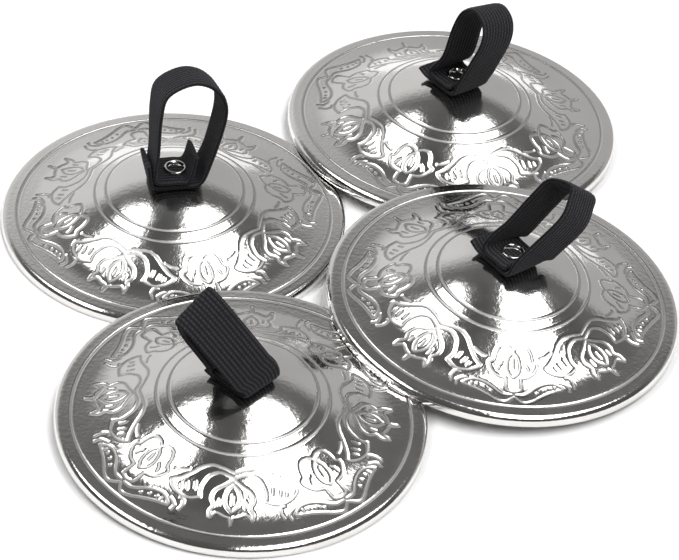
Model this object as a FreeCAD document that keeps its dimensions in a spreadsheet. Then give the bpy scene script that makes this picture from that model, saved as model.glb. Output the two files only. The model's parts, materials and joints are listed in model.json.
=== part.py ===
"""Set of four finger cymbals: thin bell-shaped discs with elastic finger loops on eyelets.

Every cymbal is built from the same pieces: a pressed metal disc, a hollow eyelet through its crown,
a backing washer inside the dome, and one strap of elastic webbing. The strap's two ends overlap under
the eyelet's head (the loop foot) and its middle stands up as the finger loop (the loop arch).
The four cymbals lie as a loose pile: back_left flat on the table, the others leaning on its rim
and on each other. Units are millimetres, +Z is up, the origin is under the middle of the pile.
"""
import FreeCAD, Part
import math
import os
import Sketcher

VECTOR = FreeCAD.Vector
NAMES = ("back_left", "back_right", "front_left", "front_right")
RAIL_STEPS = 28                  # points along each face of a loop

# Driving dimensions, in millimetres and degrees.
DISC = {
    "rim_radius": 30.0,          # half of the 60 mm cymbal
    "sheet_thick": 0.9,          # pressed sheet
    "crown_radius": 30.0,        # radius of the round crown in section
    "shoulder_deg": 26.0,        # steepest slope of the dome
    "flare_radius": 14.0,        # hollow curve from the dome out to the flange
    "flange_inner_r": 25.0,      # where the flange starts
    "flange_deg": 2.0,           # slope of the flange
    "lip_radius": 1.0,           # turned-down lip
    "lip_side": 0.85,            # straight side of the lip
    "hole_radius": 1.5,          # centre hole
    "ring_inner_r": 11.94,       # three ring grooves
    "ring_middle_r": 13.86,
    "ring_outer_r": 27.3,
    "ring_tool_radius": 0.45,    # round nose that cuts the rings
    "ring_tool_lift": 0.20,      # its centre stands this far above the metal
}
EYELET = {
    "barrel_radius": 1.45,
    "barrel_bore": 1.15,
    "head_radius": 2.0,
    "head_height": 0.45,
    "head_round": 0.3,           # rolled outer edge of the head
    "funnel_wide": 1.6,          # the head opens from the bore to this radius
    "roll_radius": 2.2,          # rolled lower end
    "roll_thick": 0.25,
    "seat_gap": 0.05,            # play between stacked pieces
}
WASHER = {
    "washer_radius": 3.2,
    "washer_thick": 0.4,
}
STRAP = {
    "strap_width": 8.0,
    "layer_thick": 0.9,
    "foot_half": 4.4,            # half of the clamped stretch
    "tail_length": 2.8,          # loose end outside the loop
    "inner_end": 3.9,            # the other end stops here, inside the loop
    "hinge_gap": 0.15,           # lean axis above the foot
    "arch_start": 0.75,          # the arch starts this far above the lean axis
    "taper_deg": 50.0,           # lean that the tapered lower ends leave room for
    "taper_point": 1.0,          # width left at the very bottom of a leg
    "low_share": 0.27,           # heights at which a leg's sideways place is given
    "high_share": 0.69,
}
# Where each cymbal lies: centre of its rim plane, and its axis leaning by tip_x and tip_y.
PILE = {
    "back_left": {"centre_x": -28.61, "centre_y": 10.29, "rise": 0.0, "tip_x": 0.0, "tip_y": 0.0},
    "back_right": {"centre_x": 19.31, "centre_y": 42.36, "rise": 1.111, "tip_x": 0.0257, "tip_y": 0.0267},
    "front_left": {"centre_x": -13.17, "centre_y": -42.36, "rise": 1.402, "tip_x": 0.0224, "tip_y": -0.0410},
    "front_right": {"centre_x": 28.61, "centre_y": -9.71, "rise": 2.883, "tip_x": 0.0667, "tip_y": -0.0308},
}
# How each loop stands: turn about the cymbal's axis, lean about the foot's length, height, and how
# far each leg has moved sideways at a third and at three quarters of the height.
LOOPS = {
    "back_left": {"turn": 13.0, "lean": -12.0, "tall": 16.8, "top_shift": 3.2,
                  "left_low": -3.2, "left_high": -2.6, "right_low": 6.2, "right_high": 7.8},
    "back_right": {"turn": -50.5, "lean": -12.0, "tall": 14.4, "top_shift": 2.1,
                   "left_low": -1.6, "left_high": -1.3, "right_low": 4.4, "right_high": 5.4},
    "front_left": {"turn": -40.0, "lean": 25.0, "tall": 16.3, "top_shift": -5.2,
                   "left_low": -3.1, "left_high": -5.9, "right_low": 2.4, "right_high": -0.7},
    "front_right": {"turn": -49.5, "lean": -40.0, "tall": 15.6, "top_shift": 4.2,
                    "left_low": -2.4, "left_high": -1.8, "right_low": 4.6, "right_high": 4.4},
}


def make_sheet(doc):
    """Spreadsheet with one aliased plain number per driving dimension."""
    sheet = doc.addObject("Spreadsheet::Sheet", "Dims")
    rows = {}
    for group in (DISC, EYELET, WASHER, STRAP):
        rows.update(group)
    for table in (PILE, LOOPS):
        for name, values in table.items():
            for key, value in values.items():
                rows[name + "_" + key] = value
    for line, (alias, value) in enumerate(rows.items(), start=1):
        sheet.set("A%d" % line, alias)
        sheet.set("B%d" % line, str(value))
        sheet.setAlias("B%d" % line, alias)
    doc.recompute()
    return sheet


def dim(alias):
    """Expression text for one cell."""
    return "Dims." + alias


class Section:
    """Expressions for the corner points of the disc's section, as (radius, height)."""

    def __init__(self):
        slope = dim("shoulder_deg")
        flat = dim("flange_deg")
        lip = dim("lip_radius")
        flare = dim("flare_radius")
        crown = dim("crown_radius")
        self.lip_r = "(%s - %s * (1 - sin(%s)))" % (dim("rim_radius"), lip, flat)
        self.lip_z = "(%s + %s * cos(%s))" % (dim("lip_side"), lip, flat)
        self.flange_r = dim("flange_inner_r")
        self.flange_z = "(%s + (%s - %s) * tan(%s))" % (self.lip_z, self.lip_r, self.flange_r, flat)
        self.flare_r = "(%s - %s * (sin(%s) - sin(%s)))" % (self.flange_r, flare, slope, flat)
        self.flare_z = "(%s + %s * (cos(%s) - cos(%s)))" % (self.flange_z, flare, flat, slope)
        self.crown_r = "(%s * sin(%s))" % (crown, slope)
        self.crown_z = "(%s + (%s - %s) * tan(%s))" % (self.flare_z, self.flare_r, self.crown_r, slope)
        self.apex_z = "(%s + %s * (1 - cos(%s)))" % (self.crown_z, crown, slope)

    def crown_top(self, radius):
        """Height of the crown's outer surface at a radius inside the round crown."""
        crown = dim("crown_radius")
        return "(%s - %s + sqrt(%s ^ 2 - (%s) ^ 2))" % (self.apex_z, crown, crown, radius)

    def shoulder_top(self, radius):
        """Height of the straight shoulder's outer surface."""
        return "(%s - (%s - %s) * tan(%s))" % (self.crown_z, radius, self.crown_r, dim("shoulder_deg"))

    def crown_under(self, radius):
        """Height of the crown's inner surface."""
        crown = dim("crown_radius")
        inner = "(%s - %s)" % (crown, dim("sheet_thick"))
        return "(%s - %s + sqrt(%s ^ 2 - (%s) ^ 2))" % (self.apex_z, crown, inner, radius)

    def flange_top(self, radius):
        """Height of the flange's outer surface."""
        return "(%s - (%s - %s) * tan(%s))" % (self.flange_z, radius, self.flange_r, dim("flange_deg"))


SECTION = Section()


def value(owner, text):
    """Plain number that an expression gives."""
    return float(owner.evalExpression(text))


def origin_plane(body, role):
    """One of the body's own origin planes."""
    for feature in body.Origin.OriginFeatures:
        if feature.Role == role:
            return feature
    raise ValueError(role)


def new_sketch(body, name, role):
    sketch = body.newObject("Sketcher::SketchObject", name)
    sketch.AttachmentSupport = [(origin_plane(body, role), "")]
    sketch.MapMode = "FlatFace"
    return sketch


def pin_point(sketch, geometry, end, across, up):
    """Fix one end of a curve at (across, up), both given as expressions."""
    for kind, text in (("DistanceX", across), ("DistanceY", up)):
        number = value(sketch, text)
        if abs(number) < 1e-9:
            axis = -2 if kind == "DistanceX" else -1
            sketch.addConstraint(Sketcher.Constraint("PointOnObject", geometry, end, axis))
            continue
        index = sketch.addConstraint(Sketcher.Constraint(kind, -1, 1, geometry, end, number))
        sketch.setExpression("Constraints[%d]" % index, text)


def arc_through(start, end, radius, bulge):
    """Arc of a given radius from start to end; bulge +1 keeps the centre left of the run."""
    chord = end.sub(start)
    middle = (start + end) * 0.5
    height = math.sqrt(max(radius ** 2 - (chord.Length / 2) ** 2, 0.0))
    left = VECTOR(-chord.y, chord.x, 0).normalize()
    centre = middle + left * (height * bulge)
    first = math.atan2(start.y - centre.y, start.x - centre.x)
    last = math.atan2(end.y - centre.y, end.x - centre.x)
    circle = Part.Circle(centre, VECTOR(0, 0, 1), radius)
    if bulge > 0:
        return Part.ArcOfCircle(circle, first, last), 1, 2
    return Part.ArcOfCircle(circle, last, first), 2, 1


def closed_outline(sketch, corners, arcs):
    """Closed chain through the corners; arcs maps a side's number to (radius expression, bulge)."""
    points = [VECTOR(value(sketch, across), value(sketch, up), 0) for across, up in corners]
    sides = []
    for number, start in enumerate(points):
        end = points[(number + 1) % len(points)]
        if number in arcs:
            text, bulge = arcs[number]
            curve, first, last = arc_through(start, end, value(sketch, text), bulge)
            sides.append((sketch.addGeometry(curve, False), first, last))
        else:
            sides.append((sketch.addGeometry(Part.LineSegment(start, end), False), 1, 2))
    for number, (geometry, first, last) in enumerate(sides):
        following, next_first, _ = sides[(number + 1) % len(sides)]
        sketch.addConstraint(Sketcher.Constraint("Coincident", geometry, last, following, next_first))
    for number, (across, up) in enumerate(corners):
        geometry, first, _ = sides[number]
        pin_point(sketch, geometry, first, across, up)
    for number, (text, _) in arcs.items():
        geometry = sides[number][0]
        radius = value(sketch, text)
        index = sketch.addConstraint(Sketcher.Constraint("Radius", geometry, radius))
        sketch.setExpression("Constraints[%d]" % index, text)


def small_circle(sketch, across, up, radius):
    """Circle with its centre and radius bound to expressions."""
    centre = VECTOR(value(sketch, across), value(sketch, up), 0)
    circle = Part.Circle(centre, VECTOR(0, 0, 1), value(sketch, radius))
    geometry = sketch.addGeometry(circle, False)
    pin_point(sketch, geometry, 3, across, up)
    index = sketch.addConstraint(Sketcher.Constraint("Radius", geometry, value(sketch, radius)))
    sketch.setExpression("Constraints[%d]" % index, radius)


def new_body(doc, label, placement):
    body = doc.addObject("PartDesign::Body", label)
    body.Label = label
    body.Placement = placement
    return body


def turn_section(body, sketch, kind):
    """Revolution or Groove of a section about the body's own upright axis."""
    feature = body.newObject("PartDesign::" + kind, kind)
    feature.Profile = sketch
    feature.ReferenceAxis = (sketch, ["V_Axis"])
    feature.Angle = 360.0
    sketch.Document.recompute()
    return feature


def make_disc(doc, name, placement):
    """Bell-shaped disc of one sheet, with a turned-down lip and three ring grooves."""
    body = new_body(doc, "cymbal_" + name, placement)
    section = SECTION
    sheet = dim("sheet_thick")
    slope = dim("shoulder_deg")
    flat = dim("flange_deg")
    hole = dim("hole_radius")
    rim = dim("rim_radius")
    inner_rim = "(%s - %s)" % (rim, sheet)
    under_flare_r = "(%s - %s * sin(%s))" % (section.flare_r, sheet, slope)
    under_flare_z = "(%s - %s * cos(%s))" % (section.flare_z, sheet, slope)
    under_crown_r = "(%s - %s * sin(%s))" % (section.crown_r, sheet, slope)
    under_crown_z = "(%s - %s * cos(%s))" % (section.crown_z, sheet, slope)
    under_flange_r = "(%s - %s * sin(%s))" % (section.flange_r, sheet, flat)
    under_flange_z = "(%s - %s * cos(%s))" % (section.flange_z, sheet, flat)
    under_lip_z = "(%s - (%s - %s) * tan(%s))" % (under_flange_z, inner_rim, under_flange_r, flat)
    corners = [
        (hole, section.crown_top(hole)),
        (section.crown_r, section.crown_z),
        (section.flare_r, section.flare_z),
        (section.flange_r, section.flange_z),
        (section.lip_r, section.lip_z),
        (rim, dim("lip_side")),
        (rim, "0"),
        (inner_rim, "0"),
        (inner_rim, under_lip_z),
        (under_flange_r, under_flange_z),
        (under_flare_r, under_flare_z),
        (under_crown_r, under_crown_z),
        (hole, section.crown_under(hole)),
    ]
    arcs = {
        0: (dim("crown_radius"), -1),
        2: (dim("flare_radius"), 1),
        4: (dim("lip_radius"), -1),
        9: ("(%s + %s)" % (dim("flare_radius"), sheet), -1),
        11: ("(%s - %s)" % (dim("crown_radius"), sheet), 1),
    }
    outline = new_sketch(body, "DiscSection", "XZ_Plane")
    closed_outline(outline, corners, arcs)
    whole = turn_section(body, outline, "Revolution")
    before = whole.Shape.Volume
    rings = new_sketch(body, "RingSection", "XZ_Plane")
    lift = dim("ring_tool_lift")
    tool = dim("ring_tool_radius")
    for ring in ("ring_inner_r", "ring_middle_r"):
        small_circle(rings, dim(ring), "(%s + %s)" % (section.shoulder_top(dim(ring)), lift), tool)
    outer = dim("ring_outer_r")
    small_circle(rings, outer, "(%s + %s)" % (section.flange_top(outer), lift), tool)
    cut = turn_section(body, rings, "Groove")
    if not cut.Shape.Volume < before - 1.0:
        raise RuntimeError("the ring grooves cut nothing in " + name)
    return body


def make_eyelet(doc, name, placement):
    """Hollow eyelet: funnel head on the strap, barrel through the hole, rolled end under the washer."""
    body = new_body(doc, "eyelet_" + name, placement)
    gap = dim("seat_gap")
    seat = "(%s + 2 * %s + 2 * %s)" % (SECTION.apex_z, dim("layer_thick"), gap)
    washer_under = "(%s - %s - %s)" % (SECTION.crown_under(dim("washer_radius")), dim("washer_thick"), gap)
    bore = dim("barrel_bore")
    barrel = dim("barrel_radius")
    head = dim("head_radius")
    roll = dim("roll_radius")
    low = "(%s - %s)" % (washer_under, dim("roll_thick"))
    head_top = "(%s + %s)" % (seat, dim("head_height"))
    head_inner = "(%s - %s)" % (head, dim("head_round"))
    corners = [
        (bore, low),
        (roll, low),
        (roll, washer_under),
        (barrel, washer_under),
        (barrel, seat),
        ("(%s - %s / 3)" % (head, dim("head_round")), seat),
        (head_inner, head_top),
        (dim("funnel_wide"), head_top),
        (bore, "(%s - %s / 4)" % (seat, dim("head_height"))),
    ]
    arcs = {5: (dim("head_round"), 1)}
    outline = new_sketch(body, "EyeletSection", "XZ_Plane")
    closed_outline(outline, corners, arcs)
    turn_section(body, outline, "Revolution")
    return body


def make_washer(doc, name, placement):
    """Flat washer inside the dome, under the eyelet's rolled end."""
    outer = doc.addObject("Part::Cylinder", "WasherBlank")
    bore = doc.addObject("Part::Cylinder", "WasherBore")
    outer.setExpression("Radius", dim("washer_radius"))
    outer.setExpression("Height", dim("washer_thick"))
    bore.setExpression("Radius", dim("hole_radius"))
    bore.setExpression("Height", dim("washer_thick"))
    washer = doc.addObject("Part::Cut", "Washer")
    washer.Label = "washer_" + name
    washer.Base = outer
    washer.Tool = bore
    top = value(outer, SECTION.crown_under(dim("washer_radius")))
    low = top - value(outer, dim("washer_thick")) - value(outer, dim("seat_gap")) / 2
    washer.Placement = placement * FreeCAD.Placement(VECTOR(0, 0, low), FreeCAD.Rotation())
    return washer


def rectangle(sketch, left, right, half_width):
    """Rectangle from left to right along the strap, symmetric across it."""
    near = "(-%s)" % half_width
    corners = [(left, near), (right, near), (right, half_width), (left, half_width)]
    closed_outline(sketch, corners, {})


def make_foot(doc, name, placement):
    """The strap's two ends, one on the other, with the eyelet's hole through both."""
    body = new_body(doc, "loop_foot_" + name, placement)
    half = dim("foot_half")
    tail = "(%s + %s)" % (half, dim("tail_length"))
    half_width = "(%s / 2)" % dim("strap_width")
    first_lift = "(%s + %s)" % (SECTION.apex_z, dim("seat_gap"))
    second_lift = "(%s + %s)" % (first_lift, dim("layer_thick"))
    inside = dim("inner_end")
    layers = (("Lower", "(-%s)" % tail, half, first_lift), ("Upper", "(-%s)" % half, inside, second_lift))
    for label, left, right, lift in layers:
        outline = new_sketch(body, label + "Layer", "XY_Plane")
        outline.AttachmentOffset = FreeCAD.Placement(VECTOR(0, 0, value(outline, lift)), FreeCAD.Rotation())
        outline.setExpression("AttachmentOffset.Base.z", lift)
        rectangle(outline, left, right, half_width)
        hole = sketch_circle_at_origin(outline)
        index = outline.addConstraint(Sketcher.Constraint("Radius", hole, value(outline, dim("hole_radius"))))
        outline.setExpression("Constraints[%d]" % index, dim("hole_radius"))
        pad = body.newObject("PartDesign::Pad", label + "Pad")
        pad.Profile = outline
        pad.setExpression("Length", dim("layer_thick"))
        doc.recompute()
    return body


def sketch_circle_at_origin(sketch):
    circle = Part.Circle(VECTOR(0, 0, 0), VECTOR(0, 0, 1), value(sketch, dim("hole_radius")))
    geometry = sketch.addGeometry(circle, False)
    sketch.addConstraint(Sketcher.Constraint("Coincident", geometry, 3, -1, 1))
    return geometry


def loop_outline(sheet, name):
    """Centre line of the standing loop in its own plane, from the left root to the right root."""
    tall = value(sheet, dim(name + "_tall"))
    half = value(sheet, dim("foot_half"))
    start = value(sheet, dim("arch_start"))
    low = value(sheet, dim("low_share")) * tall
    high = value(sheet, dim("high_share")) * tall

    def across(key):
        return value(sheet, dim(name + "_" + key))

    return [
        (-half, start),
        (across("left_low"), low),
        (across("left_high"), high),
        (across("top_shift"), tall),
        (across("right_high"), high),
        (across("right_low"), low),
        (half, start),
    ]


def make_arch(doc, sheet, name, placement):
    """Standing part of the strap: an even band along a curve, with lower ends tapered to lean."""
    thick = value(sheet, dim("layer_thick"))
    width = value(sheet, dim("strap_width"))
    start = value(sheet, dim("arch_start"))
    spine = Part.BSplineCurve()
    spine.interpolate([VECTOR(x, 0, z) for x, z in loop_outline(sheet, name)])
    sides = []
    for offset in (thick / 2, -thick / 2):
        rail = []
        for step in range(RAIL_STEPS + 1):
            share = step / RAIL_STEPS
            place = spine.FirstParameter * (1 - share) + spine.LastParameter * share
            along = spine.tangent(place)[0]
            rail.append(spine.value(place) + VECTOR(-along.z, 0, along.x) * offset)
        curve = Part.BSplineCurve()
        curve.interpolate(rail)
        sides.append(curve.toShape())
    ends = []
    for vertex in (0, 1):
        ends.append(Part.makeLine(sides[0].Vertexes[vertex].Point, sides[1].Vertexes[vertex].Point))
    face = Part.Face(Part.Wire(Part.__sortEdges__([sides[0], ends[1], sides[1], ends[0]])))
    band = face.extrude(VECTOR(0, width, 0))
    band.translate(VECTOR(0, -width / 2, 0))
    slope = math.tan(math.radians(value(sheet, dim("taper_deg"))))
    point = value(sheet, dim("taper_point")) / 2
    outside = width / 2 + 1
    for side in (-1, 1):
        corners = [
            VECTOR(-width, side * point, 0),
            VECTOR(-width, side * point, start),
            VECTOR(-width, side * outside, start + (outside - point) * slope),
            VECTOR(-width, side * outside, 0),
        ]
        wedge = Part.Face(Part.makePolygon(corners + corners[:1])).extrude(VECTOR(2 * width, 0, 0))
        band = band.cut(wedge)
    arch = doc.addObject("Part::Feature", "Arch")
    arch.Label = "loop_arch_" + name
    arch.Shape = band
    lean = FreeCAD.Rotation(VECTOR(1, 0, 0), value(sheet, dim(name + "_lean")))
    arch.Placement = placement * FreeCAD.Placement(VECTOR(0, 0, hinge_height(sheet)), lean)
    return arch


def hinge_height(sheet):
    """Height of the lean axis above the rim plane."""
    above = "%s + 2 * %s + %s + %s" % (SECTION.apex_z, dim("layer_thick"), dim("seat_gap"), dim("hinge_gap"))
    return value(sheet, above)


def pile_placement(sheet, name):
    """Rim plane of one cymbal: moved to its place, with its axis leaning."""
    axis = VECTOR(value(sheet, dim(name + "_tip_x")), value(sheet, dim(name + "_tip_y")), 1)
    base = VECTOR(*[value(sheet, dim(name + "_" + key)) for key in ("centre_x", "centre_y", "rise")])
    return FreeCAD.Placement(base, FreeCAD.Rotation(VECTOR(0, 0, 1), axis))


def check(doc, pieces):
    """Stop before any file is written when a feature failed or a shape isn't sound."""
    for item in doc.Objects:
        if "Invalid" in item.State or "Error" in item.State:
            raise RuntimeError("%s failed: %s" % (item.Name, item.State))
    for piece in pieces:
        if piece.Shape.isNull() or not piece.Shape.isValid() or not piece.Shape.Solids:
            raise RuntimeError(piece.Label + " has no sound solid")


def main():
    doc = FreeCAD.newDocument("FingerCymbals")
    sheet = make_sheet(doc)
    pieces = []
    for name in NAMES:
        rim_plane = pile_placement(sheet, name)
        spin = FreeCAD.Rotation(VECTOR(0, 0, 1), value(sheet, dim(name + "_turn")))
        turned = rim_plane * FreeCAD.Placement(VECTOR(0, 0, 0), spin)
        pieces.append(make_disc(doc, name, rim_plane))
        pieces.append(make_eyelet(doc, name, rim_plane))
        pieces.append(make_washer(doc, name, rim_plane))
        pieces.append(make_foot(doc, name, turned))
        pieces.append(make_arch(doc, sheet, name, turned))
        hinge = turned.multVec(VECTOR(0, 0, hinge_height(sheet)))
        axis = rim_plane.Rotation.multVec(VECTOR(0, 0, 1))
        along = turned.Rotation.multVec(VECTOR(1, 0, 0))
        print("joint", name, [round(x, 5) for x in hinge], [round(x, 6) for x in axis],
              [round(x, 6) for x in along])
    doc.recompute()
    check(doc, pieces)
    os.makedirs("parts", exist_ok=True)
    for piece in pieces:
        piece.Shape.exportStep("parts/" + piece.Label + ".step")
        print("%-28s volume %8.2f mm3" % (piece.Label, piece.Shape.Volume))
    box = FreeCAD.BoundBox()
    for piece in pieces:
        box.add(piece.Shape.BoundBox)
    print("box", [round(x, 3) for x in (box.XMin, box.YMin, box.ZMin, box.XMax, box.YMax, box.ZMax)])


main()
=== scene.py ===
"""Looks of four engraved finger cymbals in a loose pile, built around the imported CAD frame.

Every length below is in millimetres unless its name says otherwise. MM turns it into metres.
"""
import json
import math

import bpy
import numpy as np
from mathutils import Matrix, Vector, kdtree


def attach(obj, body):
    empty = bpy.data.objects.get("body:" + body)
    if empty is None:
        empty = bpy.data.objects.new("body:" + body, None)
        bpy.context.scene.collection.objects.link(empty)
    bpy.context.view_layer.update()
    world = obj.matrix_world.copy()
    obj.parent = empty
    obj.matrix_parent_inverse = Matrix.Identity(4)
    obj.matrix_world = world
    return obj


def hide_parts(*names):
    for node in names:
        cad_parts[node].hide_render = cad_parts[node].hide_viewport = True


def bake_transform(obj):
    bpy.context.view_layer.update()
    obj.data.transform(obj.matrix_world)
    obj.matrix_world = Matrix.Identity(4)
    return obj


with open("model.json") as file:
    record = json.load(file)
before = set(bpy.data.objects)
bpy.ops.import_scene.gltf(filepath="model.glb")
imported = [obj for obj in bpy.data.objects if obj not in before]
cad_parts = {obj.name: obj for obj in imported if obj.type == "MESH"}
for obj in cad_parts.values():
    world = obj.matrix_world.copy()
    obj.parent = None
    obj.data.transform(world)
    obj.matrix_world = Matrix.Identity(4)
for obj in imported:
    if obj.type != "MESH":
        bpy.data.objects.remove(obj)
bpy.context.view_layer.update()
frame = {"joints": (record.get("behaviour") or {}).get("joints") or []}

MM = 0.001
NAMES = ("back_left", "back_right", "front_left", "front_right")
JOINTS = {joint["name"]: joint for joint in frame["joints"]}
# The lowest cymbal lies flat, so its swivel's height is every pivot's height above its own rim plane.
PIVOT = JOINTS["swivel_back_left"]["pos_m"][2] / MM

# Section of the disc: round crown, straight shoulder, hollow flare, flange and turned-down lip.
RIM = 30.0
SHEET = 0.9
CROWN_R = 30.0
SHOULDER = math.radians(26.0)
FLARE_R = 14.0
FLANGE_START = 25.0
FLANGE = math.radians(2.0)
LIP_R = 1.0
LIP_SIDE = 0.85
HOLE = 1.5

lip_r = RIM - LIP_R * (1 - math.sin(FLANGE))
lip_z = LIP_SIDE + LIP_R * math.cos(FLANGE)
flange_z = lip_z + (lip_r - FLANGE_START) * math.tan(FLANGE)
flare_r = FLANGE_START - FLARE_R * (math.sin(SHOULDER) - math.sin(FLANGE))
flare_z = flange_z + FLARE_R * (math.cos(FLANGE) - math.cos(SHOULDER))
crown_r = CROWN_R * math.sin(SHOULDER)
crown_z = flare_z + (flare_r - crown_r) * math.tan(SHOULDER)
APEX = crown_z + CROWN_R * (1 - math.cos(SHOULDER))


def skin(radius, inset=0.0):
    """(radius, height, slope angle) of the disc's outer skin, or of a skin inset below it."""
    if radius <= crown_r:
        angle = math.asin(radius / CROWN_R)
        z = APEX - CROWN_R * (1 - math.cos(angle))
    elif radius <= flare_r:
        angle = SHOULDER
        z = crown_z - (radius - crown_r) * math.tan(SHOULDER)
    elif radius <= FLANGE_START:
        centre = FLANGE_START + FLARE_R * math.sin(FLANGE)
        angle = math.asin((centre - radius) / FLARE_R)
        z = flange_z + FLARE_R * (math.cos(FLANGE) - math.cos(angle))
    elif radius <= lip_r:
        angle = FLANGE
        z = flange_z - (radius - FLANGE_START) * math.tan(FLANGE)
    else:
        angle = math.asin(min((radius - (RIM - LIP_R)) / LIP_R, 1.0))
        z = LIP_SIDE + LIP_R * math.cos(angle)
    return radius - inset * math.sin(angle), z - inset * math.cos(angle), angle


# ---------------------------------------------------------------- engraving
# Radii of the three rings, half widths of a ring and of a stroke, and their depth.
RINGS = (11.94, 13.86, 27.3)
RING_HALF = 0.34
STROKE_HALF = 0.37
DEEP = 0.10
# Burr beside a groove: height as a share of the depth, place and width as shares of the half width.
BURR_HIGH = 0.10
BURR_AT = 1.25
BURR_WIDE = 0.35
# A ring is worked out as far as this many half widths away, the pattern between these shares of RIM.
RING_REACH = 2.5
PATTERN_IN = 0.5
PATTERN_OUT = 0.9
# Step between the points of a stroke.
STROKE_STEP = 0.12
# The satin finish is full where a groove is deeper than DEEP / ETCH_GAIN.
ETCH_GAIN = 1.6
# Each motif is mirrored about its middle line and comes this many times round the disc.
REPEATS = 4
# Strokes of the flower pattern as (degrees from the motif's middle line, radius as a share of the disc's).
TULIP = [
    [(8, .805), (6.6, .772), (5.2, .766), (2.6, .782), (.6, .792), (0, .84)],
    [(8, .805), (8.6, .76), (7.5, .725), (9.2, .69), (8.4, .647), (4.2, .614), (0, .585)],
    [(0, .755), (2.4, .72), (3.4, .68), (2.4, .635), (0, .61)],
    [(0, .71), (0, .665)],
    [(5.5, .722), (5.5, .69)],
    [(14.1, .696), (15.2, .655), (14.7, .62), (12.6, .58), (7.2, .558), (0, .575)],
    [(14.1, .696), (19.4, .719), (24.6, .708), (28.3, .681), (29.6, .661)],
    [(29.6, .661), (25.9, .632), (21.5, .584), (18, .549), (13.1, .529), (6.9, .532), (2.1, .544), (0, .55)],
    [(17.7, .662), (18.5, .633)],
    [(21, .676), (22, .65)],
    [(23.7, .683), (24.4, .666)],
    [(30.7, .607), (27.6, .600), (24.1, .585)],
]
FLOWER = [
    [(3.3, .71), (3.3, .75), (2.8, .785), (0, .80)],
    [(3.3, .71), (7.2, .70), (10.2, .673), (12.1, .639), (10.2, .619), (9.7, .577), (7.6, .545), (3.6, .541),
     (0, .556)],
    [(0, .706), (2.3, .68), (3.3, .64), (2.3, .595), (0, .569)],
    [(0, .65), (0, .61)],
    [(7.4, .665), (6.9, .645), (5.6, .63)],
    [(0, .835), (3.4, .877), (6.7, .865), (10, .838), (14.3, .813), (18.2, .803), (20.3, .80)],
    [(.8, .819), (3.6, .82), (5.9, .804), (8.9, .772), (12.6, .752), (16.5, .751), (19.2, .774), (20.3, .80)],
    [(8.9, .813), (8.9, .810)],
    [(11.9, .792), (11.9, .789)],
    [(14.8, .785), (14.8, .782)],
    [(17, .79), (17, .775)],
    [(22.5, .82), (22.8, .79), (21, .765), (19.5, .755)],
    [(25, .807), (25.6, .769), (24.7, .736), (23.4, .735)],
]


def smooth_curve(points, step):
    """Points about a step apart along a Catmull-Rom curve through the given ones."""
    points = [np.array(p, float) for p in points]
    if len(points) == 2:
        points = [points[0], (points[0] + points[1]) / 2, points[1]]
    padded = [2 * points[0] - points[1]] + points + [2 * points[-1] - points[-2]]
    out = []
    for a, b, c, d in zip(padded, padded[1:], padded[2:], padded[3:]):
        pieces = max(2, int(np.linalg.norm(c - b) / step))
        for share in np.arange(pieces) / pieces:
            out.append(0.5 * ((2 * b) + (c - a) * share + (2 * a - 5 * b + 4 * c - d) * share ** 2
                              + (3 * b - a - 3 * c + d) * share ** 3))
    out.append(points[-1])
    return np.array(out)


def stroke_points(strokes, middle_deg):
    """Points of a motif's strokes in the disc's plane, mirrored and repeated round the disc."""
    out = []
    for stroke in strokes:
        flat = [(math.radians(deg) * RIM * share, RIM * share) for deg, share in stroke]
        line = smooth_curve(flat, STROKE_STEP)
        angle, radius = line[:, 0] / line[:, 1], line[:, 1]
        for side in (1, -1):
            for turn in range(REPEATS):
                at = math.radians(middle_deg + 360 / REPEATS * turn) + side * angle
                out.append(np.stack([radius * np.cos(at), radius * np.sin(at)], axis=1))
    return np.concatenate(out)


def groove(distance, half, deep):
    """Depth of a round-bottomed groove with a faint raised burr along each edge."""
    inside = np.clip(distance / half, 0, 1)
    burr = BURR_HIGH * deep * np.exp(-((distance - BURR_AT * half) / (BURR_WIDE * half)) ** 2)
    return deep * (0.5 + 0.5 * np.cos(math.pi * inside)) - burr


class Engraving:
    """Depth of the pressed pattern anywhere on the disc."""

    def __init__(self):
        lines = np.concatenate([stroke_points(FLOWER, 0), stroke_points(TULIP, 180 / REPEATS)])
        self.tree = kdtree.KDTree(len(lines))
        for number, (x, y) in enumerate(lines):
            self.tree.insert((x, y, 0), number)
        self.tree.balance()

    def depth(self, radius, angles):
        """Depths along one circle."""
        total = np.zeros(len(angles))
        for ring in RINGS:
            if abs(radius - ring) < RING_REACH * RING_HALF:
                total += groove(np.full(len(angles), abs(radius - ring)), RING_HALF, DEEP)
        if PATTERN_IN * RIM < radius < PATTERN_OUT * RIM:
            near = np.empty(len(angles))
            for number, angle in enumerate(angles):
                spot = (radius * math.cos(angle), radius * math.sin(angle), 0)
                near[number] = self.tree.find(spot)[2]
            total += groove(near, STROKE_HALF, DEEP)
        return total


# ---------------------------------------------------------------- meshes
def mesh_object(name, points, faces, smooth=True):
    """Mesh piece from points in millimetres (an array) and a list of faces."""
    mesh = bpy.data.meshes.new(name)
    mesh.from_pydata((np.asarray(points) * MM).tolist(), [], faces)
    mesh.update()
    mesh.polygons.foreach_set("use_smooth", [smooth] * len(mesh.polygons))
    piece = bpy.data.objects.new(name, mesh)
    bpy.context.scene.collection.objects.link(piece)
    return piece


def add_values(piece, name, values):
    """Per-point values that a material reads by name."""
    attribute = piece.data.attributes.new(name, "FLOAT", "POINT")
    attribute.data.foreach_set("value", values)


def circle(count):
    """Angles of a ring of points."""
    return np.arange(count) * (2 * math.pi / count)


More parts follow.
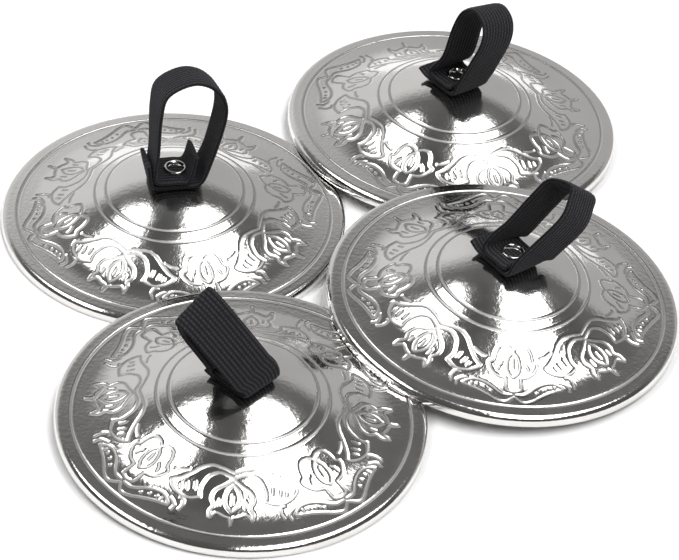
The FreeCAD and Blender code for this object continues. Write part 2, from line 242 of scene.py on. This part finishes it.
def join_rings(first_a, count_a, first_b, count_b):
    """Faces between two closed rings of points that start at the same angle."""
    if count_a == count_b:
        return [(first_a + i, first_b + i, first_b + (i + 1) % count_b, first_a + (i + 1) % count_a)
                for i in range(count_a)]
    faces = []
    i = j = 0
    while i < count_a or j < count_b:
        if j >= count_b or (i < count_a and (i + 1) * count_b <= (j + 1) * count_a):
            faces.append((first_a + i % count_a, first_b + j % count_b, first_a + (i + 1) % count_a))
            i += 1
        else:
            faces.append((first_a + i % count_a, first_b + j % count_b, first_b + (j + 1) % count_b))
            j += 1
    return faces


def turned_rings(rows):
    """Points, faces and etched share (0 to 1) of a closed turned form.

    Each row is one ring: radius, height, tilt of the skin, number of points, depth sunk along the tilt.
    """
    points, faces, starts, etched = [], [], [], []
    total = 0
    for radius, height, tilt, count, depths in rows:
        angles = circle(count)
        sunk_r = radius - depths * math.sin(tilt)
        sunk_z = height - depths * math.cos(tilt) + 0 * angles
        points.append(np.stack([sunk_r * np.cos(angles), sunk_r * np.sin(angles), sunk_z], axis=1))
        etched.append(np.clip(ETCH_GAIN * depths / DEEP + 0 * angles, 0, 1))
        starts.append((total, count))
        total += count
    for (first_a, count_a), (first_b, count_b) in zip(starts, starts[1:] + starts[:1]):
        faces += join_rings(first_a, count_a, first_b, count_b)
    return np.concatenate(points), faces, np.concatenate(etched)


# Zones of rings over the top of a disc, from the hole outwards: first radius, the radius it stops
# before, step between rings and points in a ring. They are fine where there is engraving.
TOP_ZONES = (
    (HOLE + 0.08, 11.1, 0.7, 240),
    (11.2, 12.7, 0.1, 400),
    (12.95, 13.0, 0.3, 400),
    (13.1, 14.6, 0.1, 400),
    (14.85, 15.3, 0.25, 400),
    (15.5, 26.75, 0.17, 840),
    (26.8, 27.85, 0.09, 840),
    (28.1, 28.9, 0.3, 440),
)
# Rounded lower edge of the lip, as (radius, height), from its outer side to its inner side.
LIP_EDGE = (
    (RIM, 0.5), (RIM, 0.16), (RIM - 0.05, 0.04), (RIM - 0.16, 0),
    (RIM - SHEET + 0.16, 0), (RIM - SHEET + 0.05, 0.04), (RIM - SHEET, 0.16), (RIM - SHEET, 0.55),
)
LIP_RINGS = 9
LIP_POINTS = 440
UNDER_RINGS = 34
UNDER_POINTS = 220
HOLE_EDGE = 0.06


def disc_rows(engraving):
    """Rings of one disc, from the hole out over the top, round the lip and back underneath."""
    rows = []
    for start, stop, step, count in TOP_ZONES:
        for radius in np.arange(start, stop, step):
            _, height, tilt = skin(radius)
            rows.append((radius, height, tilt, count, engraving.depth(radius, circle(count))))
    for share in np.linspace(0, 1, LIP_RINGS):
        angle = FLANGE + (math.pi / 2 - FLANGE) * share
        radius = RIM - LIP_R + LIP_R * math.sin(angle)
        rows.append((radius, LIP_SIDE + LIP_R * math.cos(angle), 0, LIP_POINTS, 0))
    for radius, height in LIP_EDGE:
        rows.append((radius, height, 0, LIP_POINTS, 0))
    for radius in np.linspace(lip_r - 0.25, HOLE + 0.3, UNDER_RINGS):
        under_r, under_z, _ = skin(radius, SHEET)
        rows.append((under_r, under_z, 0, UNDER_POINTS, 0))
    _, hole_top, _ = skin(HOLE)
    for height in (hole_top - SHEET + HOLE_EDGE, hole_top - HOLE_EDGE):
        rows.append((HOLE, height, 0, UNDER_POINTS, 0))
    return rows


def turned_piece(name, outline):
    """Closed turned form from an outline of (radius, height) corners, slightly rounded."""
    points_round = 72
    # Shares of the way to the next corner: where a corner's rounding starts, and how far it is cut back.
    round_from = 0.18
    cut_back = 0.06
    rows = []
    corners = [np.array(p, float) for p in outline]
    for before, here, after in zip(corners[-1:] + corners[:-1], corners, corners[1:] + corners[:1]):
        for spot in (here + (before - here) * 0.5,
                     here + (before - here) * round_from,
                     here + (before - here) * cut_back + (after - here) * cut_back,
                     here + (after - here) * round_from):
            rows.append((spot[0], spot[1], 0, points_round, 0))
    points, faces, _ = turned_rings(rows)
    return mesh_object(name, points, faces)


def seat_matrix(name):
    """Frame of one cymbal's strap: x along the foot, y across the webbing, z up its axis."""
    up = Vector(JOINTS["swivel_" + name]["axis"]).normalized()
    along = Vector(JOINTS["lean_" + name]["axis"]).normalized()
    across = up.cross(along)
    origin = Vector(JOINTS["swivel_" + name]["pos_m"]) - up * PIVOT * MM
    matrix = Matrix((along, across, up)).transposed().to_4x4()
    matrix.translation = origin
    return matrix


def disc_matrix(name, turn_deg):
    """Frame of one disc: its axis, turned so that a motif's middle line lies at turn_deg from +X."""
    seat = seat_matrix(name)
    up = seat.col[2].to_3d()
    side = (Vector((1, 0, 0)) - up * up.x).normalized()
    matrix = Matrix((side, up.cross(side), up)).transposed().to_4x4()
    matrix.translation = seat.translation
    return matrix @ Matrix.Rotation(math.radians(turn_deg), 4, "Z")


# ---------------------------------------------------------------- straps
WEB_WIDE = 8.0
WEB_THICK = 0.9
# Heights above the crown of the foot's two layers, each at the middle of its thickness.
FOOT_LOW = 0.5
FOOT_HIGH = 1.4
# Shares of the loop's height: low and high on its legs, and the corners below its top.
LEG_LOW = 0.33
LEG_HIGH = 0.70
CORNER_AT = 0.91
# A strap leans from this height on, and leans fully this much higher. It twists evenly as it rises.
BEND_FROM = 0.9
BEND_OVER = 4.0
# Weave: ribs side by side, pitch of the nubs along a rib, height of the relief, share of it between
# two nubs, how far the weave is set in, and how much a nub narrows the webbing.
RIBS = 11
NUB_PITCH = 0.62
RELIEF = 0.10
RELIEF_LOW = 0.4
WEAVE_INSET = 0.07
NUB_PINCH = 0.004
# How square the webbing's edges are: the power of the curve that its section follows.
EDGE_POWER = 10
# Mesh of a strap: step along its curve, step between its rows, points across and rounds of softening.
CURVE_STEP = 0.22
ROW_STEP = 0.2
POINTS_ACROSS = 79
SOFTENING = 4
# Bent shape of each strap in its own plane, where x runs along the foot.
# half: half length of the foot. tall: height of the loop. left and right: x of a leg, low and high.
# top: x of the loop's top. corners: how far the left and right corners step inward. lean and twist:
# degrees. tail: how far the lower end sticks out past the foot. inner: how far before its tip the
# upper end starts to rise. tail_lift and inner_lift: how far the two tips rise.
STRAPS = {
    "back_left": dict(half=4.2, tall=18.8, left=(-3.6, -3.2), top=2.6, right=(6.4, 8.2),
                      corners=(1.2, 1.7), lean=-11.6, twist=8.0,
                      tail=1.0, inner=1.6, tail_lift=3.8, inner_lift=3.8),
    "back_right": dict(half=3.6, tall=16.6, left=(-1.5, -1.2), top=2.3, right=(4.6, 6.0),
                       corners=(1.0, 0.9), lean=-11.9, twist=5.0,
                       tail=2.6, inner=1.0, tail_lift=0.7, inner_lift=0.4),
    "front_left": dict(half=3.9, tall=18.0, left=(-3.1, -5.7), top=-5.4, right=(2.4, -0.9),
                       corners=(0.1, 2.4), lean=25.0, twist=-1.5,
                       tail=1.2, inner=1.0, tail_lift=0.3, inner_lift=0.6),
    "front_right": dict(half=3.5, tall=16.9, left=(-2.4, -1.6), top=3.4, right=(4.4, 5.6),
                        corners=(1.0, 1.0), lean=-38.0, twist=-2.0,
                        tail=2.8, inner=0.8, tail_lift=0.8, inner_lift=0.2),
}


def strap_line(shape):
    """Centre line of the whole strap in its own plane, as (x, height above the crown)."""
    half, tall = shape["half"], shape["tall"]
    left_low, left_high = shape["left"]
    right_low, right_high = shape["right"]
    left_corner, right_corner = shape["corners"]
    points = [
        (-half - shape["tail"], FOOT_LOW + shape["tail_lift"]),
        (-half - shape["tail"] * 0.35, FOOT_LOW + 0.12 * shape["tail_lift"]),
        (-half + 1.2, FOOT_LOW - 0.02),
        (0.0, FOOT_LOW),
        (half - 1.0, FOOT_LOW + 0.08),
        (half - 0.05, FOOT_LOW + 0.85),
        (half + 0.3 * (right_low - half), 0.14 * tall),
        (right_low, LEG_LOW * tall),
        (right_high, LEG_HIGH * tall),
        (right_high - right_corner, CORNER_AT * tall),
        (shape["top"], tall),
        (left_high + left_corner, CORNER_AT * tall),
        (left_high, LEG_HIGH * tall),
        (left_low, LEG_LOW * tall),
        (-half + 0.3 * (left_low + half), 0.17 * tall),
        (-half + 0.1, FOOT_HIGH + 0.55),
        (-half + 1.1, FOOT_HIGH),
        (0.0, FOOT_HIGH),
        (half - 1.4 - 0.6 * shape["inner"], FOOT_HIGH + 0.03 * shape["inner_lift"]),
        (half - 1.0, FOOT_HIGH + shape["inner_lift"]),
    ]
    return smooth_curve(points, CURVE_STEP)


def bend(shape, x, y, z):
    """Twist and lean points of an upright strap, growing with height above the foot."""
    share = np.clip((z - BEND_FROM) / BEND_OVER, 0, 1)
    share = share * share * (3 - 2 * share)
    lean = math.radians(shape["lean"]) * share
    twist = math.radians(shape["twist"]) * np.clip(z / shape["tall"], 0, 1)
    turned_x = x * np.cos(twist) - y * np.sin(twist)
    turned_y = x * np.sin(twist) + y * np.cos(twist)
    rise = z - BEND_FROM
    leaned_y = turned_y * np.cos(lean) - rise * np.sin(lean)
    leaned_z = turned_y * np.sin(lean) + rise * np.cos(lean) + BEND_FROM
    return np.stack([turned_x, leaned_y, leaned_z], axis=-1)


def strap_path(shape):
    """Even points of a strap's softened centre line: run so far, x, z and the outward direction."""
    line = strap_line(shape)
    run = np.concatenate([[0], np.cumsum(np.linalg.norm(np.diff(line, axis=0), axis=1))])
    even = np.arange(0, run[-1], ROW_STEP)
    x = np.interp(even, run, line[:, 0])
    z = np.interp(even, run, line[:, 1])
    for _ in range(SOFTENING):
        x[1:-1] = (x[:-2] + 2 * x[1:-1] + x[2:]) / 4
        z[1:-1] = (z[:-2] + 2 * z[1:-1] + z[2:]) / 4
    along = np.stack([np.gradient(x), np.gradient(z)], axis=1)
    along /= np.linalg.norm(along, axis=1)[:, None]
    outward = np.stack([along[:, 1], -along[:, 0]], axis=1)
    return even, x, z, outward


def ribbon_faces(rows, wide):
    """Faces of a closed ribbon: a grid of rows by wide points, then the same grid on its other side."""
    other = rows * wide
    faces = []
    for base in (0, other):
        for row in range(rows - 1):
            for place in range(wide - 1):
                a = base + row * wide + place
                quad = (a, a + 1, a + wide + 1, a + wide)
                faces.append(quad[::-1] if base else quad)
    for row in range(rows - 1):
        a = row * wide
        faces.append((a, a + wide, a + wide + other, a + other))
        b = a + wide - 1
        faces.append((b, b + other, b + wide + other, b + wide))
    for a in range(wide - 1):
        faces.append((a, a + other, a + 1 + other, a + 1))
        b = (rows - 1) * wide + a
        faces.append((b, b + 1, b + 1 + other, b + other))
    return faces


def make_strap(name):
    """One continuous ribbed ribbon: both ends under the eyelet's head, the loop standing up."""
    shape = STRAPS[name]
    even, x, z, outward = strap_path(shape)
    across = np.linspace(-1, 1, POINTS_ACROSS)
    edge = np.sqrt(np.clip(1 - np.abs(across) ** EDGE_POWER, 0, 1))
    lane = (across * 0.5 + 0.5) * RIBS
    rib = 0.5 - 0.5 * np.cos(2 * math.pi * lane)
    stagger = 0.5 * (np.floor(lane) % 2)
    points, raised = [], []
    for side in (1, -1):
        for row in range(len(even)):
            phase = even[row] / NUB_PITCH + stagger
            nub = 0.5 + 0.5 * np.cos(2 * math.pi * phase)
            weave = rib * (RELIEF_LOW + (1 - RELIEF_LOW) * nub)
            offset = side * (WEB_THICK / 2 * edge - WEAVE_INSET + RELIEF * weave * edge)
            skin_x = x[row] + outward[row, 0] * offset
            skin_y = across * (WEB_WIDE / 2) * (1 - NUB_PINCH * nub)
            skin_z = z[row] + outward[row, 1] * offset
            points.append(bend(shape, skin_x, skin_y, skin_z))
            raised.append(weave)
    points = np.concatenate(points)
    points[:, 2] += APEX
    piece = mesh_object("strap_" + name, points, ribbon_faces(len(even), POINTS_ACROSS))
    # The raised share of the weave also sets where the elastic's colour carries a painted highlight.
    add_values(piece, "raised", np.concatenate(raised))
    piece.data.transform(seat_matrix(name))
    return piece


# ---------------------------------------------------------------- materials
def new_material(name):
    """A material, its node tree and its Principled shader."""
    material = bpy.data.materials.new(name)
    material.use_nodes = True
    tree = material.node_tree
    return material, tree, tree.nodes["Principled BSDF"]


def add_noise(tree, scale, detail, rough=0.5):
    """Noise in the object's own coordinates, with scale as waves per metre."""
    place = tree.nodes.new("ShaderNodeTexCoord")
    texture = tree.nodes.new("ShaderNodeTexNoise")
    texture.inputs["Scale"].default_value = scale
    texture.inputs["Detail"].default_value = detail
    texture.inputs["Roughness"].default_value = rough
    tree.links.new(place.outputs["Object"], texture.inputs["Vector"])
    return texture


def add_ramp(tree, source, low, high, low_at=0.3, high_at=0.7):
    """Colour ramp from a value to colours, or to greys where low and high are single numbers."""
    ramp = tree.nodes.new("ShaderNodeValToRGB")
    for element, at, colour in zip(ramp.color_ramp.elements, (low_at, high_at), (low, high)):
        element.position = at
        element.color = colour if isinstance(colour, tuple) else (colour, colour, colour, 1)
    tree.links.new(source, ramp.inputs["Fac"])
    return ramp.outputs["Color"]


def add_bump(tree, shader, height, strength, distance_m):
    """Fine relief of a material, with its depth in metres."""
    bump = tree.nodes.new("ShaderNodeBump")
    bump.inputs["Strength"].default_value = strength
    bump.inputs["Distance"].default_value = distance_m
    tree.links.new(height, bump.inputs["Height"])
    tree.links.new(bump.outputs["Normal"], shader.inputs["Normal"])


def read_values(tree, name):
    """The per-point values of that name, as an output."""
    attribute = tree.nodes.new("ShaderNodeAttribute")
    attribute.attribute_name = name
    return attribute.outputs["Fac"]


def nickel():
    """Nickel plate over pressed sheet: soft polish with a fine orange peel, dull grey in the engraving."""
    material, tree, shader = new_material("nickel_plate")
    shader.inputs["Metallic"].default_value = 1.0
    etched = read_values(tree, "etched")
    cloud = add_noise(tree, 90, 4)
    tint = add_ramp(tree, cloud.outputs["Fac"], (.74, .725, .70, 1), (.80, .79, .775, 1))
    # A colour mix has its factor at input 0, its colours at inputs 6 and 7 and its result at output 2.
    dulled = tree.nodes.new("ShaderNodeMix")
    dulled.data_type = "RGBA"
    tree.links.new(etched, dulled.inputs[0])
    tree.links.new(tint, dulled.inputs[6])
    dulled.inputs[7].default_value = (.43, .425, .42, 1)
    tree.links.new(dulled.outputs[2], shader.inputs["Base Color"])
    haze = add_noise(tree, 260, 6, 0.6)
    polish = add_ramp(tree, haze.outputs["Fac"], 0.09, 0.15)
    satin = tree.nodes.new("ShaderNodeMath")
    satin.operation = "MULTIPLY_ADD"
    satin.inputs[1].default_value = 0.26
    tree.links.new(etched, satin.inputs[0])
    tree.links.new(polish, satin.inputs[2])
    tree.links.new(satin.outputs[0], shader.inputs["Roughness"])
    grain = add_noise(tree, 1500, 2, 0.45)
    add_bump(tree, shader, grain.outputs["Fac"], 0.35, 0.00006)
    return material


def eyelet_metal():
    """Drawn and plated eyelet, darker and slightly rougher than the discs."""
    material, tree, shader = new_material("eyelet_plate")
    shader.inputs["Metallic"].default_value = 1.0
    cloud = add_noise(tree, 700, 3)
    tint = add_ramp(tree, cloud.outputs["Fac"], (.58, .56, .54, 1), (.74, .73, .71, 1))
    tree.links.new(tint, shader.inputs["Base Color"])
    tree.links.new(add_ramp(tree, cloud.outputs["Fac"], 0.10, 0.20), shader.inputs["Roughness"])
    grain = add_noise(tree, 2600, 2)
    add_bump(tree, shader, grain.outputs["Fac"], 0.2, 0.00004)
    return material


def washer_metal():
    """Plain punched steel, dull and uneven."""
    material, tree, shader = new_material("washer_steel")
    shader.inputs["Metallic"].default_value = 1.0
    cloud = add_noise(tree, 500, 3)
    tint = add_ramp(tree, cloud.outputs["Fac"], (.50, .50, .49, 1), (.62, .62, .61, 1))
    tree.links.new(tint, shader.inputs["Base Color"])
    tree.links.new(add_ramp(tree, cloud.outputs["Fac"], 0.25, 0.4), shader.inputs["Roughness"])
    grain = add_noise(tree, 3000, 1)
    add_bump(tree, shader, grain.outputs["Fac"], 0.4, 0.00005)
    return material


def webbing():
    """Black woven elastic: matt thread, with a painted highlight on the raised weave, broken up by noise."""
    material, tree, shader = new_material("black_elastic")
    raised = read_values(tree, "raised")
    # Painted highlight: noise breaks up the paler colour on the raised weave.
    highlight_noise = add_noise(tree, 2400, 4, 0.65)
    painted_nub_highlight = tree.nodes.new("ShaderNodeMath")
    painted_nub_highlight.operation = "MULTIPLY"
    tree.links.new(raised, painted_nub_highlight.inputs[0])
    tree.links.new(highlight_noise.outputs["Fac"], painted_nub_highlight.inputs[1])
    # Painted highlight: the raised weave is coloured paler, standing in for light caught on the nubs and
    # ribs.
    tint = add_ramp(tree, painted_nub_highlight.outputs[0], (.009, .009, .010, 1), (.050, .050, .055, 1), 0.05, 0.55)
    tree.links.new(tint, shader.inputs["Base Color"])
    shader.inputs["Roughness"].default_value = 0.9
    shader.inputs["Specular IOR Level"].default_value = 0.2
    shader.inputs["Sheen Weight"].default_value = 0.06
    shader.inputs["Sheen Roughness"].default_value = 0.45
    shader.inputs["Sheen Tint"].default_value = (.75, .78, .85, 1)
    thread = add_noise(tree, 4200, 3)
    add_bump(tree, shader, thread.outputs["Fac"], 0.5, 0.00006)
    return material


def pale_floor():
    """Matt white table top."""
    material, tree, shader = new_material("pale_floor")
    soft = add_noise(tree, 4, 2)
    tint = add_ramp(tree, soft.outputs["Fac"], (.93, .93, .93, 1), (.95, .95, .95, 1))
    tree.links.new(tint, shader.inputs["Base Color"])
    shader.inputs["Roughness"].default_value = 0.9
    return material


def give(piece, material, body):
    """Material and slot of a piece, and the body that it rides on, if it has one."""
    piece.data.materials.clear()
    piece.data.materials.append(material)
    if body:
        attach(piece, body)


# ---------------------------------------------------------------- the pieces
# Turn of each disc's pattern from +X, in degrees.
TURNS = {"back_left": 21.0, "back_right": 67.5, "front_left": 45.0, "front_right": 4.0}
metal = nickel()
small_metal = eyelet_metal()
steel = washer_metal()
elastic = webbing()

# Radii of an eyelet's bore, barrel, rolled end and head, and of a washer, and the rolled end's height.
BORE_R = 1.15
BARREL_R = 1.45
ROLL_R = 2.2
HEAD_R = 2.0
WASHER_R = 3.2
ROLL_HIGH = 0.25

under_head = APEX + 1.9
under_washer = skin(WASHER_R, SHEET)[1] - 0.45
washer_low = under_washer + 0.02
washer_high = under_washer + 0.42
EYELET_OUTLINE = [
    (BORE_R, under_washer - ROLL_HIGH),
    (ROLL_R, under_washer - ROLL_HIGH),
    (ROLL_R, under_washer),
    (BARREL_R, under_washer),
    (BARREL_R, under_head),
    (1.9, under_head),
    (HEAD_R, under_head + 0.2),
    (1.85, under_head + 0.42),
    (1.6, under_head + 0.45),
    (1.3, under_head + 0.1),
    (BORE_R, under_head - 0.25),
]
WASHER_OUTLINE = [(HOLE, washer_low), (WASHER_R, washer_low), (WASHER_R, washer_high), (HOLE, washer_high)]

disc_points, disc_faces, disc_etched = turned_rings(disc_rows(Engraving()))

for name in NAMES:
    body = name + "_cymbal"
    disc = mesh_object("disc_" + name, disc_points, disc_faces)
    add_values(disc, "etched", disc_etched)
    disc.data.transform(disc_matrix(name, TURNS[name]))
    give(disc, metal, body)
    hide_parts("cymbal_" + name)

    eyelet = turned_piece("eyelet_ring_" + name, EYELET_OUTLINE)
    eyelet.data.transform(seat_matrix(name))
    give(eyelet, small_metal, body)
    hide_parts("eyelet_" + name)

    washer = turned_piece("washer_ring_" + name, WASHER_OUTLINE)
    washer.data.transform(seat_matrix(name))
    give(washer, steel, body)
    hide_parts("washer_" + name)

    strap = make_strap(name)
    give(strap, elastic, None)
    seat = seat_matrix(name)
    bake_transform(strap)
    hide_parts("loop_foot_" + name, "loop_arch_" + name)

# ---------------------------------------------------------------- studio
FLOOR_HALF = 4000
FLOOR_Z = -0.02
floor_points = [(x * FLOOR_HALF, y * FLOOR_HALF, FLOOR_Z) for x, y in ((-1, -1), (1, -1), (1, 1), (-1, 1))]
floor = mesh_object("floor", floor_points, [(0, 1, 2, 3)], smooth=False)
floor.data.materials.append(pale_floor())

CAMERA_ELEVATION = math.radians(39.016)
CAMERA_ROLL = math.radians(4.054)
CAMERA_DISTANCE = 502.22
CAMERA_TARGET = Vector((0.947, -2.999, 0.0))
LENS = 155.55
SENSOR = 36.0
# Nearest and farthest distance that the camera sees, in metres.
CLIP_M = (0.01, 30)


def make_camera():
    """Camera in front of the pile, looking down at it, slightly rolled."""
    data = bpy.data.cameras.new("camera")
    data.lens = LENS
    data.sensor_width = SENSOR
    data.clip_start, data.clip_end = CLIP_M
    camera = bpy.data.objects.new("camera", data)
    bpy.context.scene.collection.objects.link(camera)
    forward = Vector((0, math.cos(CAMERA_ELEVATION), -math.sin(CAMERA_ELEVATION)))
    right = Vector((1, 0, 0))
    above = right.cross(forward)
    rolled_right = right * math.cos(CAMERA_ROLL) + above * math.sin(CAMERA_ROLL)
    rolled_above = above * math.cos(CAMERA_ROLL) - right * math.sin(CAMERA_ROLL)
    matrix = Matrix((rolled_right, rolled_above, -forward)).transposed().to_4x4()
    matrix.translation = (CAMERA_TARGET - forward * CAMERA_DISTANCE) * MM
    camera.matrix_world = matrix
    bpy.context.scene.camera = camera


# Softboxes fade in above the horizon between these heights of a direction, where 1 is straight up.
HORIZON_LOW = 0.02
HORIZON_HIGH = 0.10
# Softboxes: their corners on the ceiling, counter-clockwise, the softness of their edges, their level,
# and the distances ahead between which they come up from nothing, nearer to the camera.
RIGHT_BOX = [(0.11, -0.9), (0.66, -0.9), (0.66, 0.25), (0.48, 0.60), (0.11, 0.66)]
RIGHT_SOFT = 0.035
LEFT_BOX = [(-0.85, -0.7), (-0.50, -0.3), (-0.28, 0.30), (-0.34, 0.56), (-0.62, 0.56), (-0.85, 0.25)]
LEFT_SOFT = 0.05
BOX_LEVEL = 5.6
BOX_FADE = (0.68, 0.34)
# The room: its even level, what the far wall and the far left add, and what is taken off overhead.
ROOM_LEVEL = 0.135
WALL_LEVEL = 0.34
WALL_FROM = (0.95, 1.45)
LEFT_LEVEL = 0.26
LEFT_FROM = (0.12, -0.42)
LEFT_FAR = (0.75, 1.15)
OVERHEAD_LEVEL = 0.05
OVERHEAD_FROM = (0.75, 0.25)


class Sky:
    """World of soft studio panels, laid out as seen on a flat ceiling: x right, y away, height 1."""

    def __init__(self):
        world = bpy.data.worlds.new("studio")
        world.use_nodes = True
        bpy.context.scene.world = world
        self.tree = world.node_tree
        self.tree.nodes.clear()
        place = self.tree.nodes.new("ShaderNodeTexCoord")
        split = self.tree.nodes.new("ShaderNodeSeparateXYZ")
        self.tree.links.new(place.outputs["Generated"], split.inputs[0])
        self.up = split.outputs["Z"]
        above = self.calc("MAXIMUM", self.up, HORIZON_LOW)
        self.x = self.calc("DIVIDE", split.outputs["X"], above)
        self.y = self.calc("DIVIDE", split.outputs["Y"], above)

    def calc(self, operation, a, b):
        """Output of a math node; a and b are outputs or numbers."""
        node = self.tree.nodes.new("ShaderNodeMath")
        node.operation = operation
        for socket, source in zip(node.inputs, (a, b)):
            if isinstance(source, (int, float)):
                socket.default_value = source
            else:
                self.tree.links.new(source, socket)
        return node.outputs[0]

    def step(self, value, low, high):
        """0 below low, 1 above high, smooth between; low may be the larger one."""
        node = self.tree.nodes.new("ShaderNodeMapRange")
        node.interpolation_type = "SMOOTHSTEP"
        node.inputs["From Min"].default_value = low
        node.inputs["From Max"].default_value = high
        self.tree.links.new(value, node.inputs["Value"])
        return node.outputs["Result"]

    def beyond(self, a, b, soft):
        """1 on the left of the line from a to b on the ceiling, 0 on its right."""
        dx, dy = b[0] - a[0], b[1] - a[1]
        length = math.hypot(dx, dy)
        across = self.calc("SUBTRACT", self.calc("MULTIPLY", self.y, dx / length),
                           self.calc("MULTIPLY", self.x, dy / length))
        start = (a[1] * dx - a[0] * dy) / length
        return self.step(across, start - soft, start + soft)

    def panel(self, corners, soft):
        """Mask of a convex panel with its corners in counter-clockwise order."""
        mask = self.step(self.up, HORIZON_LOW, HORIZON_HIGH)
        for a, b in zip(corners, corners[1:] + corners[:1]):
            mask = self.calc("MULTIPLY", mask, self.beyond(a, b, soft))
        return mask

    def finish(self, level):
        """Use that output as the world's grey level."""
        background = self.tree.nodes.new("ShaderNodeBackground")
        output = self.tree.nodes.new("ShaderNodeOutputWorld")
        self.tree.links.new(level, background.inputs["Color"])
        self.tree.links.new(background.outputs[0], output.inputs[0])


def make_studio():
    """Two softboxes overhead, in a grey room that is lighter at its far wall and on its far left."""
    sky = Sky()
    right_box = sky.panel(RIGHT_BOX, RIGHT_SOFT)
    left_box = sky.panel(LEFT_BOX, LEFT_SOFT)
    fading = sky.calc("MULTIPLY", sky.step(sky.y, *BOX_FADE), BOX_LEVEL)
    boxes = sky.calc("MULTIPLY", sky.calc("ADD", right_box, left_box), fading)
    wall = sky.calc("MULTIPLY", sky.step(sky.y, *WALL_FROM), WALL_LEVEL)
    far_left = sky.calc("MULTIPLY", sky.step(sky.x, *LEFT_FROM), sky.step(sky.y, *LEFT_FAR))
    overhead = sky.calc("MULTIPLY", sky.step(sky.y, *OVERHEAD_FROM), OVERHEAD_LEVEL)
    room = sky.calc("ADD", wall, ROOM_LEVEL)
    room = sky.calc("ADD", sky.calc("MULTIPLY", far_left, LEFT_LEVEL), room)
    room = sky.calc("SUBTRACT", room, overhead)
    sky.finish(sky.calc("ADD", room, boxes))


make_camera()
make_studio()
bpy.context.scene.view_settings.view_transform = "Standard"
